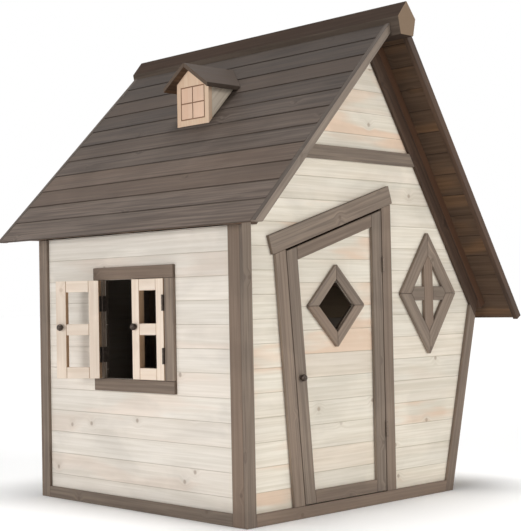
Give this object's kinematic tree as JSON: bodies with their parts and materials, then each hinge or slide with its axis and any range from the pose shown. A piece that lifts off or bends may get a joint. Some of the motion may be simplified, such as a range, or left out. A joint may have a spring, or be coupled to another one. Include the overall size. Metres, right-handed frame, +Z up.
{
  "type": "playhouse",
  "caption": "Crooked timber playhouse with plank walls, a leaning side, an uneven pitched roof with a dormer, a slanted hinged door with a diamond light and shutters that swing.",
  "frame": {"origin": "on the ground under the middle of the whole house", "axes": "+X to the right along the front wall, +Y from the front wall to the back wall, +Z up"},
  "size_m": [1.3322, 1.341, 1.5834],
  "materials": {
    "whitewash": "whitewashed planks",
    "taupe_trim": "stained taupe brown",
    "roof_board": "stained grey brown",
    "barge": "weathered grey brown",
    "soffit": "dark brown stain",
    "ridge": "dark charcoal stain",
    "peach_wood": "pale whitewash",
    "cheek_wood": "pale grey beige",
    "bare_wood": "bare softwood",
    "dark_metal": "dark satin"
  },
  "bodies": {
    "house": {"front_planks": "whitewash", "front_left_post": "taupe_trim", "front_right_post": "taupe_trim", "front_rail": "taupe_trim", "gable_belt": "taupe_trim", "gable_trim_left": "soffit", "gable_trim_right": "soffit", "door_jamb_left": "taupe_trim", "door_jamb_right": "taupe_trim", "door_lintel": "taupe_trim", "wall_diamond": "taupe_trim", "left_planks": "whitewash", "left_front_post": "taupe_trim", "left_back_post": "taupe_trim", "left_rail": "taupe_trim", "window_casing": "taupe_trim", "right_planks": "whitewash", "right_front_post": "taupe_trim", "right_back_post": "taupe_trim", "right_rail": "taupe_trim", "right_batten": "bare_wood", "back_planks": "whitewash", "back_left_post": "taupe_trim", "back_right_post": "taupe_trim", "back_rail": "taupe_trim", "back_belt": "taupe_trim", "back_trim_left": "soffit", "back_trim_right": "soffit", "back_batten": "bare_wood", "corner_posts": "bare_wood", "wall_plates": "bare_wood", "ridge_beam": "ridge", "left_roof_boards": "roof_board", "right_roof_boards": "roof_board", "left_rafters": "soffit", "right_rafters": "soffit", "barge_front_left": "barge", "barge_front_right": "soffit", "barge_back_left": "barge", "barge_back_right": "soffit", "dormer_front": "peach_wood", "dormer_cheeks": "cheek_wood", "dormer_roof_near": "roof_board", "dormer_roof_far": "roof_board", "door_hinge_plates": "dark_metal", "door_hinge_pins": "dark_metal", "window_hinge_plates": "dark_metal", "window_hinge_pins": "dark_metal"},
    "door": {"door_frame": "taupe_trim", "door_planks": "whitewash", "door_diamond": "taupe_trim", "door_knobs": "dark_metal", "door_hinge_leaves": "dark_metal"},
    "shutter_left": {"left_shutter": "peach_wood", "left_shutter_knobs": "dark_metal", "left_shutter_leaves": "dark_metal"},
    "shutter_right": {"right_shutter": "peach_wood", "right_shutter_knobs": "dark_metal", "right_shutter_leaves": "dark_metal"}
  },
  "joints": [
    {"name": "door_hinge", "type": "hinge", "parent": "house", "child": "door", "pos_m": [0.06904, -0.522, 0.5], "axis": [0, 0, 1], "range_deg": [0, 110]},
    {"name": "shutter_left_hinge", "type": "hinge", "parent": "house", "child": "shutter_left", "pos_m": [-0.55596, 0.1415, 0.5715], "axis": [0, 0, 1], "range_deg": [-21, 149]},
    {"name": "shutter_right_hinge", "type": "hinge", "parent": "house", "child": "shutter_right", "pos_m": [-0.55596, -0.1625, 0.5715], "axis": [0, 0, 1], "range_deg": [-2, 168]}
  ]
}
